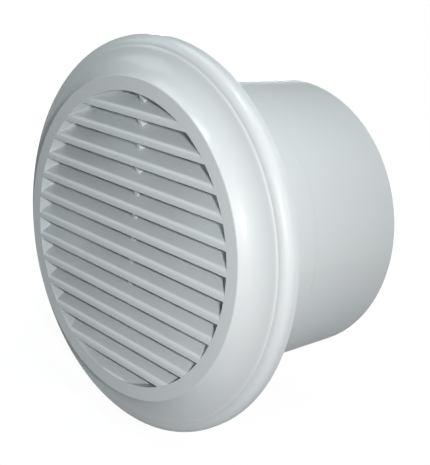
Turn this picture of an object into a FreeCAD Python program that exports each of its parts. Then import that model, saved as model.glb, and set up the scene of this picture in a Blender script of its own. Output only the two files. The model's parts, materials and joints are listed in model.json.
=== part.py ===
import FreeCAD, Part
import math
import os

# Round extract fan for a 125 mm duct: a louvred front panel that pulls off, a casing with its wall flange
# and collar, a rear duct spigot, a motor carrier with a shaded-pole motor, and an axial impeller behind it.
# The origin is on the duct axis at the wall plane. +Y runs into the duct, -Y faces the room and +Z is up.
# Angles round the duct axis start at +X and turn towards +Z. All lengths are in millimetres.

V = FreeCAD.Vector
ORIGIN = V(0, 0, 0)
INTO_DUCT = V(0, 1, 0)
INTO_ROOM = V(0, -1, 0)

# Clearances
PRESS_FIT = 0.02
LOCATING_FIT = 0.05
RUNNING_FIT = 0.03
SLIDING_GAP = 0.3
END_PLAY = 0.1

# Duct tube
SPIGOT_R = 62.0
SPIGOT_WALL = 2.4
SPIGOT_END_Y = 82.8
SPIGOT_EDGE = 0.6
COLLAR_STEP = 0.15
COLLAR_WALL = 1.25
COLLAR_LENGTH = 31.2
LAP_LENGTH = 10.0
SEAM_GAP = 0.25
BORE_R = SPIGOT_R - SPIGOT_WALL
COLLAR_R = SPIGOT_R + COLLAR_STEP
LAP_R = COLLAR_R - COLLAR_WALL

# Front panel, with depths measured back from its face
FACE_DEPTH = 14.5
GRILLE_INSET = 0.2
RING_WIDTH = 5.7
RING_EDGE_ROUND = 0.5
TRUMPET_WIDTH = 10.9
TRUMPET_DEPTH = 7.4
TRUMPET_TURN = 56.0
STEP_WIDTH = 0.8
STEP_DEPTH = 0.55
STEP_ROUND = 1.6
RIM_WIDTH = 4.75
RIM_TO_WALL = 0.3
PANEL_WALL = 2.0
SKIRT_WALL = 1.2
SKIRT_LAP = 1.5
CABLE_NOTCH_WIDTH = 10.0
CABLE_NOTCH_DEPTH = 9.0
FACE_Y = -FACE_DEPTH
GRILLE_R = BORE_R - GRILLE_INSET
RING_R = GRILLE_R + RING_WIDTH
TRUMPET_R = RING_R + TRUMPET_WIDTH
RIM_R = TRUMPET_R + RIM_WIDTH

# Louvres and their centre rib
LOUVRE_COUNT = 13
LOUVRE_OVERRUN = 2.15
LOUVRE_DROP = 5.9
LOUVRE_BAND = 1.3
LOUVRE_NOSE_R = 2.1
LOUVRE_SLOPE = 26.0
LOUVRE_DEPTH = 12.0
LOUVRE_REAR_WALL = 1.5
RIB_WIDTH = 1.8
RIB_DEPTH = 5.8
LOUVRE_PITCH = (2 * GRILLE_R + LOUVRE_OVERRUN) / LOUVRE_COUNT
LOUVRE_REAR_Y = FACE_Y + LOUVRE_DEPTH

# Wall flange of the casing
FLANGE_WALL = 2.2
FLANGE_GAP = 0.4
WALL_HOLE_R = 2.25
WALL_HOLE_TO_COLLAR = 8.35
WALL_HOLE_COUNT = 4
WALL_HOLE_START = 45.0
FLANGE_FRONT_Y = -FLANGE_WALL
WALL_HOLE_CIRCLE_R = COLLAR_R + WALL_HOLE_TO_COLLAR

# Push-fit pegs of the panel and their sockets in the wall flange
PEG_R = 1.75
PEG_TO_RING = 2.9
PEG_COUNT = 4
PEG_START = 15.0
PEG_END_GAP = 0.3
SOCKET_WALL = 1.8
SOCKET_HEIGHT = 2.4
SOCKET_FLOOR = 0.8
PEG_CIRCLE_R = RING_R + PEG_TO_RING

# Cable grommet in the wall flange
GROMMET_TO_COLLAR = 7.85
GROMMET_R = 5.0
GROMMET_LIP = 1.5
GROMMET_BORE_R = 3.2
GROMMET_MEMBRANE = 0.8
GROMMET_RECESS = 0.2
GROMMET_Z = -COLLAR_R - GROMMET_TO_COLLAR

# Screws
SCREW_HEAD_HEIGHT = 1.6
CROSS_WIDTH = 0.7
CROSS_DEPTH = 0.9
CROSS_MARGIN = 0.9
CASING_SCREW_R = 1.5
CASING_SCREW_HEAD_R = 2.9
MOTOR_SCREW_R = 1.25
MOTOR_SCREW_HEAD_R = 2.3
SCREW_CLEARANCE = 0.15
SCREW_TIP_GAP = 1.0

# Motor carrier
ARM_COUNT = 4
ARM_START = 45.0
ARM_WALL = 3.0
CARRIER_RING_LENGTH = 10.0
CLAMP_TO_WALL = 4.8
CLAMP_BOSS_R = 4.2
LUG_THICKNESS = 3.0
SPIGOT_BOSS_LENGTH = 12.0
CUP_WALL = 1.6
CUP_TO_STACK = 1.4
CUP_TO_LOUVRES = 3.1
CUP_NOSE_ROUND = 6.0
CUP_BOSS_R = 3.2
CUP_BOSS_STAND = 2.0
CUP_SCREW_REACH = 8.0
STACK_R = 27.0
TONGUE_Y = COLLAR_LENGTH - LAP_LENGTH
CARRIER_Y = TONGUE_Y - CARRIER_RING_LENGTH
CLAMP_CIRCLE_R = BORE_R - CLAMP_TO_WALL
CUP_R = STACK_R + CUP_TO_STACK + CUP_WALL
CUP_BOSS_CIRCLE_R = CUP_R + CUP_BOSS_STAND
CUP_FRONT_Y = LOUVRE_REAR_Y + CUP_TO_LOUVRES

# Terminal tray below the motor cup
TRAY_SIDE_ROOM = 2.5
TRAY_SETBACK = 4.4
TRAY_DEPTH = 15.0
TRAY_TO_WALL = 2.6
TRAY_WALL = 1.6
TRAY_FOOT_WIDTH = 12.0
COVER_WALL = 1.6
COVER_CUP_GAP = 1.0
COVER_NOTCH_WIDTH = 8.0
COVER_NOTCH_HEIGHT = 6.0
COVER_POST_INSET = 3.2
COVER_POST_TO_CUP = 3.6
POST_R = 2.2
TERMINAL_SIDE_WALL = 1.7
TERMINAL_HEIGHT = 10.7
TERMINAL_TO_CLAMP = 5.5
TERMINAL_LENGTH = 10.0
TERMINAL_PITCH = 9.2
TUBE_R = 2.1
TUBE_BORE_R = 1.4
TERMINAL_SCREW_R = 1.2
TERMINAL_SCREW_SPACING = 4.8
TERMINAL_SCREW_RECESS = 0.7
CLAMP_TO_EDGE = 5.0
CLAMP_SPAN = 17.0
CLAMP_BAR_END = 3.0
CLAMP_BAR_WIDTH = 4.8
CLAMP_BAR_WALL = 2.4
CLAMP_POST_HEIGHT = 6.4
CLAMP_ARCH_R = 3.4
LEAD_R = 0.9
LEAD_HOLE_GAP = 0.3
LEAD_INSERT = 1.0
LEAD_TO_STACK = 2.1
TRAY_FRONT_Y = CUP_FRONT_Y + TRAY_SETBACK
TRAY_REAR_Y = TRAY_FRONT_Y + TRAY_DEPTH
TRAY_OUTER_Z = -BORE_R + TRAY_TO_WALL
COVER_POST_Z = -CUP_R - COVER_POST_TO_CUP
CLAMP_Z = TRAY_OUTER_Z + CLAMP_TO_EDGE
CLAMP_BAR_LENGTH = CLAMP_SPAN + 2 * CLAMP_BAR_END
TRAY_WIDTH = CLAMP_BAR_LENGTH + 2 * TRAY_SIDE_ROOM
COVER_POST_X = TRAY_WIDTH / 2 - COVER_POST_INSET
TERMINAL_WIDTH = TERMINAL_PITCH + 2 * (TUBE_R + TERMINAL_SIDE_WALL)
TERMINAL_NEAR_Z = CLAMP_Z + TERMINAL_TO_CLAMP + TERMINAL_LENGTH

# Motor
STACK_LENGTH = 18.0
STACK_SETBACK = 12.4
YOKE_WALL = 4.5
POLE_COUNT = 4
POLE_WIDTH = 8.0
SHOE_WALL = 2.2
SHOE_ANGLE = 64.0
AIR_GAP = 0.4
COIL_ROOM = 7.0
CAGE_BAR_COUNT = 12
CAGE_BAR_R = 1.1
CAGE_BAR_INSET = 2.0
CAGE_RING_WALL = 0.4
CAGE_RING_LENGTH = 3.0
SHAFT_R = 3.0
BOBBIN_WALL = 0.8
BOBBIN_GAP = 0.1
WINDING_DEPTH = 3.2
SHADING_WIRE = 1.2
SHADING_NEAR = 1.6
SHADING_SPAN = 4.6
SHADING_GROOVE_GAP = 0.04
BUSH_R = 5.0
BUSH_LENGTH = 4.5
FELT_R = 7.0
FELT_LENGTH = 1.5
CAP_LENGTH = 0.5
SHAFT_CLEARANCE = 0.4
BRACKET_BOSS_R = 8.6
BRACKET_WALL = 2.0
BRACKET_ARM_WIDTH = 7.0
THROUGH_TO_EDGE = 2.3
THROUGH_LEG_R = 2.3
THRUST_WASHER_R = 5.8
SHAFT_NOSE = 0.2
FUSE_R = 1.6
FUSE_LENGTH = 8.0
STACK_FRONT_Y = CUP_FRONT_Y + STACK_SETBACK
STACK_REAR_Y = STACK_FRONT_Y + STACK_LENGTH
YOKE_R = STACK_R - YOKE_WALL
STATOR_BORE_R = YOKE_R - COIL_ROOM - SHOE_WALL
ROTOR_R = STATOR_BORE_R - AIR_GAP
CAGE_BAR_CIRCLE_R = ROTOR_R - CAGE_BAR_INSET
THROUGH_CIRCLE_R = STACK_R - THROUGH_TO_EDGE
CAGE_FRONT_Y = STACK_FRONT_Y - CAGE_RING_LENGTH
CAGE_REAR_Y = STACK_REAR_Y + CAGE_RING_LENGTH
THRUST_WALL = 0.5
FRONT_BUSH_Y = CAGE_FRONT_Y - END_PLAY - THRUST_WALL - BUSH_LENGTH
REAR_BUSH_Y = CAGE_REAR_Y + END_PLAY + THRUST_WALL
FRONT_CAP_Y = FRONT_BUSH_Y - FELT_LENGTH - CAP_LENGTH
REAR_CAP_Y = REAR_BUSH_Y + BUSH_LENGTH + FELT_LENGTH
COIL_REACH = BOBBIN_GAP + 2 * BOBBIN_WALL + WINDING_DEPTH
CUP_REAR_Y = REAR_CAP_Y + CAP_LENGTH - BRACKET_WALL
BRACKET_REAR_Y = CUP_REAR_Y + BRACKET_WALL
FRONT_BRACKET_Y = STACK_FRONT_Y - COIL_REACH - BRACKET_WALL - END_PLAY

# Impeller
HUB_STEP = 1.0
HUB_WALL = 1.8
HUB_LENGTH = 20.0
HUB_ROUND = 3.0
HUB_GAP = 3.0
HUB_BOSS_R = 9.0
HUB_BOSS_SETBACK = 2.0
HUB_RIB_WALL = 1.6
HUB_RIB_SINK = 0.4
CLIP_RECESS_R = 7.0
CLIP_RECESS_DEPTH = 4.0
CLIP_R = 6.0
CLIP_WALL = 0.6
CLIP_NOTCH = 0.6
CLIP_TOOTH_COUNT = 5
SHAFT_TAIL = 2.4
TIP_GAP = 1.4
BLADE_COUNT = 5
BLADE_SETBACK = 9.0
BLADE_EDGE = 0.9
BLADE_THICKNESS = 2.2
BLADE_CAMBER = 0.07
BLADE_ROOT_CHORD = 30.0
BLADE_TIP_CHORD = 46.0
BLADE_ROOT_PITCH = 40.0
BLADE_TIP_PITCH = 24.0
BLADE_STATIONS = 4
HUB_FRONT_Y = BRACKET_REAR_Y + HUB_GAP
HUB_REAR_Y = HUB_FRONT_Y + HUB_LENGTH
HUB_R = CUP_R - HUB_STEP
TIP_R = BORE_R - TIP_GAP


def polar(radius, degrees):
    """The X and Z of a point on a circle round the duct axis."""
    return radius * math.cos(math.radians(degrees)), radius * math.sin(math.radians(degrees))


def spaced(count, start):
    """Evenly spaced angles round the duct axis."""
    return [start + i * 360.0 / count for i in range(count)]


def disc(radius, y0, y1, x=0.0, z=0.0):
    """A cylinder along the duct axis, or beside it."""
    return Part.makeCylinder(radius, y1 - y0, V(x, y0, z), INTO_DUCT)


def tube(outer, inner, y0, y1, x=0.0, z=0.0):
    """A hollow cylinder along the duct axis, or beside it."""
    return disc(outer, y0, y1, x, z).cut(disc(inner, y0, y1, x, z))


def block(x0, x1, y0, y1, z0, z1):
    """A box between two corners."""
    return Part.makeBox(x1 - x0, y1 - y0, z1 - z0, V(x0, y0, z0))


def turned(shape, degrees):
    """A copy turned round the duct axis, from +X towards +Z."""
    copy = shape.copy()
    copy.rotate(ORIGIN, INTO_ROOM, degrees)
    return copy


def ring_of(shape, count, start):
    """Copies of a shape, evenly spaced round the duct axis."""
    return [turned(shape, angle) for angle in spaced(count, start)]


def revolved(edges):
    """A solid of revolution round the duct axis, from edges in the X-Y plane with X as the radius."""
    return Part.Face(Part.Wire(edges)).revolve(ORIGIN, INTO_DUCT, 360.0)


def lathe(points):
    """A solid of revolution from a polygon of radius and Y pairs."""
    corners = [V(r, y, 0) for r, y in points]
    return revolved(Part.makePolygon(corners + corners[:1]).Edges)


def whole(base, extras):
    """One solid from a base and what is moulded on it."""
    return base.multiFuse(extras).removeSplitter()


def group(solids):
    """Separate solids that share a node."""
    return Part.makeCompound(solids)


def screw(x, z, seat_y, tip_y, shank_r, head_r):
    """A cross-head screw along the duct axis. Its head sits at seat_y, on the side away from tip_y."""
    back = 1.0 if tip_y > seat_y else -1.0
    top_y = seat_y - back * SCREW_HEAD_HEIGHT
    head = disc(head_r, min(seat_y, top_y), max(seat_y, top_y), x, z)
    shank = disc(shank_r, min(seat_y, tip_y), max(seat_y, tip_y), x, z)
    floor_y = top_y + back * CROSS_DEPTH
    y0, y1 = min(top_y, floor_y), max(top_y, floor_y)
    reach = head_r - CROSS_MARGIN
    half = CROSS_WIDTH / 2
    cross = block(x - reach, x + reach, y0, y1, z - half, z + half)
    cross = cross.fuse(block(x - half, x + half, y0, y1, z - reach, z + reach))
    return whole(head, [shank]).cut(cross)


def arc(start, middle, end):
    """An arc edge in the X-Y plane through three radius and Y pairs."""
    return Part.Arc(V(*start, 0), V(*middle, 0), V(*end, 0)).toShape()


def line(start, end):
    """A straight edge in the X-Y plane between two radius and Y pairs."""
    return Part.makeLine(V(*start, 0), V(*end, 0))


class Trumpet:
    """The concave arc of the flange, from the face ring's edge back to the step before the rim."""

    def __init__(self):
        chord = math.hypot(TRUMPET_R - RING_R, TRUMPET_DEPTH)
        lean = math.atan2(TRUMPET_DEPTH, TRUMPET_R - RING_R)
        half_turn = math.radians(TRUMPET_TURN) / 2
        self.radius = chord / (2 * math.sin(half_turn))
        start = lean + half_turn
        self.centre_r = RING_R + self.radius * math.sin(start)
        self.centre_y = FACE_Y - self.radius * math.cos(start)
        self.end_angle = math.pi / 2 + (lean - half_turn)
        self.start_angle = math.pi / 2 + start

    def point(self, angle, offset=0.0):
        """A point on the arc, or behind it by an offset."""
        reach = self.radius + offset
        return self.centre_r + reach * math.cos(angle), self.centre_y + reach * math.sin(angle)

    def angle_at_y(self, y, offset):
        """The angle where the offset arc crosses a plane of constant Y."""
        return math.pi - math.asin((y - self.centre_y) / (self.radius + offset))

    def edge(self, start, end, offset=0.0):
        """The arc edge between two angles."""
        middle = (start + end) / 2
        return arc(self.point(start, offset), self.point(middle, offset), self.point(end, offset))


def panel_shell():
    """Face ring, inner skirt, trumpet flange and rounded rim, as one turned profile."""
    trumpet = Trumpet()
    bend = math.sqrt(0.5)
    ring_back_y = FACE_Y + PANEL_WALL
    skirt_r = GRILLE_R + SKIRT_WALL
    step_r = TRUMPET_R + STEP_WIDTH
    step_y = FACE_Y + TRUMPET_DEPTH + STEP_DEPTH
    bead = RIM_R - step_r
    inner_bead = bead - PANEL_WALL
    bead_y = step_y + bead
    rim_y = -RIM_TO_WALL
    outer = trumpet.edge(trumpet.start_angle, trumpet.end_angle)
    back_start = trumpet.angle_at_y(ring_back_y, PANEL_WALL)
    inner = trumpet.edge(back_start, trumpet.end_angle, PANEL_WALL)
    trumpet_end = trumpet.point(trumpet.end_angle)
    inner_end = trumpet.point(trumpet.end_angle, PANEL_WALL)
    inner_start = trumpet.point(back_start, PANEL_WALL)
    bead_middle = (step_r + bead * bend, bead_y - bead * bend)
    inner_middle = (step_r + inner_bead * bend, bead_y - inner_bead * bend)
    profile = [
        line((GRILLE_R, FACE_Y), (RING_R, FACE_Y)),
        outer,
        line(trumpet_end, (step_r, step_y)),
        arc((step_r, step_y), bead_middle, (RIM_R, bead_y)),
        line((RIM_R, bead_y), (RIM_R, rim_y)),
        line((RIM_R, rim_y), (RIM_R - PANEL_WALL, rim_y)),
        line((RIM_R - PANEL_WALL, rim_y), (RIM_R - PANEL_WALL, bead_y)),
        arc((RIM_R - PANEL_WALL, bead_y), inner_middle, (step_r, bead_y - inner_bead)),
        line((step_r, bead_y - inner_bead), inner_end),
        inner,
        line(inner_start, (skirt_r, ring_back_y)),
        line((skirt_r, ring_back_y), (skirt_r, SKIRT_LAP)),
        line((skirt_r, SKIRT_LAP), (GRILLE_R, SKIRT_LAP)),
        line((GRILLE_R, SKIRT_LAP), (GRILLE_R, FACE_Y)),
    ]
    shell = revolved(Part.__sortEdges__(profile))
    ring_edge = [e for e in shell.Edges if is_circle(e, RING_R, FACE_Y)]
    shell = shell.makeFillet(RING_EDGE_ROUND, ring_edge)
    step_edge = [e for e in shell.Edges if is_circle(e, TRUMPET_R, FACE_Y + TRUMPET_DEPTH)]
    return shell.makeFillet(STEP_ROUND, step_edge)


def is_circle(edge, radius, y):
    """Whether an edge is the full circle of this radius at this Y."""
    curve = edge.Curve
    if not isinstance(curve, Part.Circle):
        return False
    return abs(curve.Radius - radius) < 1e-6 and abs(curve.Center.y - y) < 1e-6


def louvre_profile(z):
    """One louvre's section: a flat front band with a sharp lower edge, a round nose and a sloping blade."""
    slope = math.radians(LOUVRE_SLOPE)
    turn = math.pi / 2 - slope
    band_z = z + LOUVRE_BAND
    nose_y = FACE_Y + LOUVRE_NOSE_R * (1 - math.cos(turn))
    nose_z = band_z + LOUVRE_NOSE_R * math.sin(turn)
    middle_y = FACE_Y + LOUVRE_NOSE_R * (1 - math.cos(turn / 2))
    middle_z = band_z + LOUVRE_NOSE_R * math.sin(turn / 2)
    rear_y = LOUVRE_REAR_Y
    rear_z = nose_z + (rear_y - nose_y) * math.tan(slope)
    under_z = rear_z - LOUVRE_REAR_WALL / math.cos(slope)
    corners = [V(0, FACE_Y, z), V(0, FACE_Y, band_z), V(0, nose_y, nose_z)]
    corners += [V(0, rear_y, rear_z), V(0, rear_y, under_z)]
    nose = Part.Arc(corners[1], V(0, middle_y, middle_z), corners[2]).toShape()
    edges = [Part.makeLine(corners[0], corners[1]), nose]
    for start, end in zip(corners[2:], corners[3:] + corners[:1]):
        edges.append(Part.makeLine(start, end))
    return Part.Face(Part.Wire(edges))


def rib_profile(z):
    """The rib's section above one louvre: it stands square on the blade and runs to its rear edge."""
    slope = math.radians(LOUVRE_SLOPE)
    turn = math.pi / 2 - slope
    root_y = FACE_Y + RIB_DEPTH
    nose_y = FACE_Y + LOUVRE_NOSE_R * (1 - math.cos(turn))
    nose_z = z + LOUVRE_BAND + LOUVRE_NOSE_R * math.sin(turn)
    sink = LOUVRE_REAR_WALL / 2
    root_z = nose_z + (root_y - nose_y) * math.tan(slope) - sink
    run = (LOUVRE_DEPTH - RIB_DEPTH - sink) / math.cos(slope)
    rise = LOUVRE_PITCH * math.cos(slope)
    along = V(0, run * math.cos(slope), run * math.sin(slope))
    up = V(0, -rise * math.sin(slope), rise * math.cos(slope))
    root = V(0, root_y, root_z)
    return Part.Face(Part.makePolygon([root, root + along, root + along + up, root + up, root]))


def louvre_edge_z(i):
    """The height of louvre i's lower front edge, counted from the top."""
    return LOUVRE_PITCH * ((LOUVRE_COUNT - 1) / 2 - i) - LOUVRE_DROP


def louvres():
    """The louvres and the pieces of the centre rib between them, trimmed to sink into the skirt."""
    reach = 2 * (GRILLE_R + SKIRT_WALL)
    trim = disc(GRILLE_R + SKIRT_WALL / 2, FACE_Y, LOUVRE_REAR_Y)
    pieces = []
    for i in range(LOUVRE_COUNT):
        blade = louvre_profile(louvre_edge_z(i)).extrude(V(reach, 0, 0))
        blade.translate(V(-reach / 2, 0, 0))
        pieces.append(blade.common(trim))
    for i in range(LOUVRE_COUNT + 1):
        rib = rib_profile(louvre_edge_z(i)).extrude(V(RIB_WIDTH, 0, 0))
        rib.translate(V(-RIB_WIDTH / 2, 0, 0))
        pieces.append(rib.common(trim))
    return pieces


def panel_pegs():
    """Straight pegs that push into the flange's sockets, trimmed to start inside the trumpet's wall."""
    trumpet = Trumpet()
    middle = PANEL_WALL / 2
    start = trumpet.angle_at_y(FACE_Y + PANEL_WALL, middle)
    inside = trumpet.edge(start, trumpet.end_angle, middle)
    first = trumpet.point(start, middle)
    last = trumpet.point(trumpet.end_angle, middle)
    behind = [inside, line(last, (last[0], 0)), line((last[0], 0), (first[0], 0)), line((first[0], 0), first)]
    room = revolved(Part.__sortEdges__(behind))
    x, z = polar(PEG_CIRCLE_R, 0)
    peg = disc(PEG_R, FACE_Y, -SOCKET_FLOOR - PEG_END_GAP, x, z).common(room)
    return ring_of(peg, PEG_COUNT, PEG_START)


def front_panel():
    """The whole front moulding, with a notch in its skirt for the cable."""
    panel = whole(panel_shell(), louvres() + panel_pegs())
    half = CABLE_NOTCH_WIDTH / 2
    skirt_r = GRILLE_R + SKIRT_WALL
    inside = math.sqrt(GRILLE_R ** 2 - half ** 2)
    notch = block(-half, half, SKIRT_LAP - CABLE_NOTCH_DEPTH, SKIRT_LAP, -skirt_r - SLIDING_GAP, -inside)
    return panel.cut(notch.cut(disc(GRILLE_R, FACE_Y, SKIRT_LAP)))


def wall_boss(y0, y1):
    """A screw boss at +X that stands on the duct's inner wall."""
    foot = block(CLAMP_CIRCLE_R, BORE_R + LOCATING_FIT, y0, y1, -CLAMP_BOSS_R, CLAMP_BOSS_R)
    return disc(CLAMP_BOSS_R, y0, y1, CLAMP_CIRCLE_R).fuse(foot)


def casing():
    """Wall flange and collar, with the panel's sockets, the screw lugs and the holes."""
    rebate_r = GRILLE_R + SKIRT_WALL + SLIDING_GAP
    rebate_y = SKIRT_LAP + SLIDING_GAP
    flange_r = RIM_R - PANEL_WALL - FLANGE_GAP
    shell = lathe([
        (rebate_r, FLANGE_FRONT_Y), (flange_r, FLANGE_FRONT_Y), (flange_r, 0), (COLLAR_R, 0),
        (COLLAR_R, COLLAR_LENGTH), (LAP_R, COLLAR_LENGTH), (LAP_R, CARRIER_Y), (BORE_R, CARRIER_Y),
        (BORE_R, rebate_y), (rebate_r, rebate_y),
    ])
    socket_r = PEG_R + LOCATING_FIT
    socket = disc(socket_r + SOCKET_WALL, FLANGE_FRONT_Y - SOCKET_HEIGHT, FLANGE_FRONT_Y, PEG_CIRCLE_R)
    lug = wall_boss(CARRIER_Y - LUG_THICKNESS, CARRIER_Y)
    moulding = whole(shell, ring_of(socket, PEG_COUNT, PEG_START) + ring_of(lug, ARM_COUNT, ARM_START))
    socket_hole = disc(socket_r, FLANGE_FRONT_Y - SOCKET_HEIGHT, -SOCKET_FLOOR, PEG_CIRCLE_R)
    lug_hole = disc(CASING_SCREW_R + SCREW_CLEARANCE, CARRIER_Y - LUG_THICKNESS, CARRIER_Y, CLAMP_CIRCLE_R)
    wall_hole = disc(WALL_HOLE_R, FLANGE_FRONT_Y, 0, WALL_HOLE_CIRCLE_R)
    holes = ring_of(socket_hole, PEG_COUNT, PEG_START)
    holes += ring_of(lug_hole, ARM_COUNT, ARM_START)
    holes += ring_of(wall_hole, WALL_HOLE_COUNT, WALL_HOLE_START)
    holes.append(disc(GROMMET_R, FLANGE_FRONT_Y, 0, 0, GROMMET_Z))
    return moulding.cut(holes)


def cable_grommet():
    """A rubber grommet with a thin membrane that the fitter pierces for the cable."""
    front_y = FLANGE_FRONT_Y - GROMMET_LIP
    lip = disc(GROMMET_R + GROMMET_LIP, front_y, FLANGE_FRONT_Y, 0, GROMMET_Z)
    plug = disc(GROMMET_R - LOCATING_FIT, FLANGE_FRONT_Y, -GROMMET_RECESS, 0, GROMMET_Z)
    hollow = disc(GROMMET_BORE_R, front_y, -GROMMET_RECESS - GROMMET_MEMBRANE, 0, GROMMET_Z)
    return whole(lip, [plug]).cut(hollow)


def rear_spigot():
    """The duct tube, with a tongue inside the collar and bosses for the casing screws."""
    edge_r = SPIGOT_R - SPIGOT_EDGE
    shoulder_y = COLLAR_LENGTH + SEAM_GAP
    shell = lathe([
        (BORE_R, TONGUE_Y), (LAP_R - LOCATING_FIT, TONGUE_Y), (LAP_R - LOCATING_FIT, shoulder_y),
        (SPIGOT_R, shoulder_y), (SPIGOT_R, SPIGOT_END_Y - SPIGOT_EDGE), (edge_r, SPIGOT_END_Y),
        (BORE_R, SPIGOT_END_Y),
    ])
    boss = wall_boss(TONGUE_Y, TONGUE_Y + SPIGOT_BOSS_LENGTH)
    pilot_end = TONGUE_Y + SPIGOT_BOSS_LENGTH - SCREW_TIP_GAP
    pilot = disc(CASING_SCREW_R + LOCATING_FIT, TONGUE_Y, pilot_end, CLAMP_CIRCLE_R)
    moulding = whole(shell, ring_of(boss, ARM_COUNT, ARM_START))
    return moulding.cut(ring_of(pilot, ARM_COUNT, ARM_START))


def casing_screws():
    """Screws from the front that clamp casing, carrier and spigot together."""
    seat_y = CARRIER_Y - LUG_THICKNESS
    tip_y = TONGUE_Y + SPIGOT_BOSS_LENGTH - 2 * SCREW_TIP_GAP
    screws = []
    for angle in spaced(ARM_COUNT, ARM_START):
        x, z = polar(CLAMP_CIRCLE_R, angle)
        screws.append(screw(x, z, seat_y, tip_y, CASING_SCREW_R, CASING_SCREW_HEAD_R))
    return group(screws)


def motor_cup():
    """The closed-nosed cup that shields the motor from the damp air."""
    cup = disc(CUP_R, CUP_FRONT_Y, CUP_REAR_Y)
    nose = [e for e in cup.Edges if is_circle(e, CUP_R, CUP_FRONT_Y)]
    cup = cup.makeFillet(CUP_NOSE_ROUND, nose)
    hollow_r = CUP_R - CUP_WALL
    hollow_y = CUP_FRONT_Y + CUP_WALL
    hollow = disc(hollow_r, hollow_y, CUP_REAR_Y)
    floor = [e for e in hollow.Edges if is_circle(e, hollow_r, hollow_y)]
    return cup, hollow.makeFillet(CUP_NOSE_ROUND - CUP_WALL, floor)


def terminal_tray():
    """The open tray for the terminal block, with its posts and its foot on the carrier ring."""
    half = TRAY_WIDTH / 2
    floor_y = TRAY_REAR_Y - TRAY_WALL
    foot_half = TRAY_FOOT_WIDTH / 2
    tray = block(-half, half, TRAY_FRONT_Y, TRAY_REAR_Y, TRAY_OUTER_Z, -CUP_R + CUP_WALL)
    room = block(-half + TRAY_WALL, half - TRAY_WALL, TRAY_FRONT_Y, floor_y, TRAY_OUTER_Z + TRAY_WALL, 0)
    posts = [disc(POST_R, TRAY_FRONT_Y, floor_y, COVER_POST_X, COVER_POST_Z)]
    for side in (-1, 1):
        posts.append(disc(POST_R, floor_y - CLAMP_POST_HEIGHT, floor_y, side * CLAMP_SPAN / 2, CLAMP_Z))
    foot = block(-foot_half, foot_half, CARRIER_Y, TRAY_REAR_Y, -BORE_R - LOCATING_FIT, TRAY_OUTER_Z)
    return whole(tray.cut(room), posts + [foot])


def lead_places():
    """The X of each lead and terminal tube, and the Y that they share."""
    lead_y = STACK_FRONT_Y - LEAD_TO_STACK
    return [(-TERMINAL_PITCH / 2, lead_y), (TERMINAL_PITCH / 2, lead_y)]


def motor_carrier():
    """Ring, arms, motor cup and terminal tray, as one moulding."""
    ring = tube(LAP_R - LOCATING_FIT, BORE_R, CARRIER_Y, TONGUE_Y)
    cup, hollow = motor_cup()
    arm = block(CUP_R - CUP_WALL, BORE_R + LOCATING_FIT, CARRIER_Y, TONGUE_Y, -ARM_WALL / 2, ARM_WALL / 2)
    boss = wall_boss(CARRIER_Y, TONGUE_Y)
    cup_boss = disc(CUP_BOSS_R, CARRIER_Y, CUP_REAR_Y, CUP_BOSS_CIRCLE_R)
    extras = [cup, terminal_tray()]
    for shape in (arm, boss, cup_boss):
        extras += ring_of(shape, ARM_COUNT, ARM_START)
    moulding = whole(ring, extras)
    boss_hole = disc(CASING_SCREW_R + SCREW_CLEARANCE, CARRIER_Y, TONGUE_Y, CLAMP_CIRCLE_R)
    cup_hole_y = CUP_REAR_Y - CUP_SCREW_REACH - SCREW_TIP_GAP
    cup_hole = disc(MOTOR_SCREW_R + LOCATING_FIT, cup_hole_y, CUP_REAR_Y, CUP_BOSS_CIRCLE_R)
    holes = [hollow]
    holes += ring_of(boss_hole, ARM_COUNT, ARM_START)
    holes += ring_of(cup_hole, ARM_COUNT, ARM_START)
    holes += tray_holes()
    return moulding.cut(holes)


def tray_holes():
    """Screw holes of the tray's posts, and the lead holes through the cup's wall."""
    floor_y = TRAY_REAR_Y - TRAY_WALL
    pilot_r = MOTOR_SCREW_R + LOCATING_FIT
    holes = [disc(pilot_r, TRAY_FRONT_Y, floor_y - SCREW_TIP_GAP, COVER_POST_X, COVER_POST_Z)]
    for side in (-1, 1):
        holes.append(disc(pilot_r, floor_y - CLAMP_POST_HEIGHT, floor_y, side * CLAMP_SPAN / 2, CLAMP_Z))
    for x, y in lead_places():
        top = V(x, y, -CUP_R + 2 * CUP_WALL)
        holes.append(Part.makeCylinder(LEAD_R + LEAD_HOLE_GAP, 3 * CUP_WALL, top, V(0, 0, -1)))
    return holes


def terminal_block():
    """The insulating body of a two-pole screw terminal."""
    far_z = TERMINAL_NEAR_Z - TERMINAL_LENGTH
    floor_y = TRAY_REAR_Y - TRAY_WALL
    front_y = floor_y - TERMINAL_HEIGHT
    half = TERMINAL_WIDTH / 2
    body = block(-half, half, front_y, floor_y, far_z, TERMINAL_NEAR_Z)
    holes = []
    for x, y in lead_places():
        top = V(x, y, TERMINAL_NEAR_Z)
        holes.append(Part.makeCylinder(TUBE_R + PRESS_FIT, TERMINAL_LENGTH, top, V(0, 0, -1)))
        for z in terminal_screw_heights():
            holes.append(disc(TERMINAL_SCREW_R + SCREW_CLEARANCE, front_y, y, x, z))
    return body.cut(holes)


def terminal_screw_heights():
    """The Z of the two screws of a terminal tube."""
    middle = TERMINAL_NEAR_Z - TERMINAL_LENGTH / 2
    return [middle - TERMINAL_SCREW_SPACING / 2, middle + TERMINAL_SCREW_SPACING / 2]


def terminal_tubes():
    """Brass tubes that join each lead to its cable core."""
    tubes = []
    for x, y in lead_places():
        top = V(x, y, TERMINAL_NEAR_Z)
        brass = Part.makeCylinder(TUBE_R, TERMINAL_LENGTH, top, V(0, 0, -1))
        holes = [Part.makeCylinder(TUBE_BORE_R, TERMINAL_LENGTH, top, V(0, 0, -1))]
        holes += [disc(TERMINAL_SCREW_R + PRESS_FIT, y - TUBE_R, y, x, z) for z in terminal_screw_heights()]
        tubes.append(brass.cut(holes))
    return group(tubes)


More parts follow.
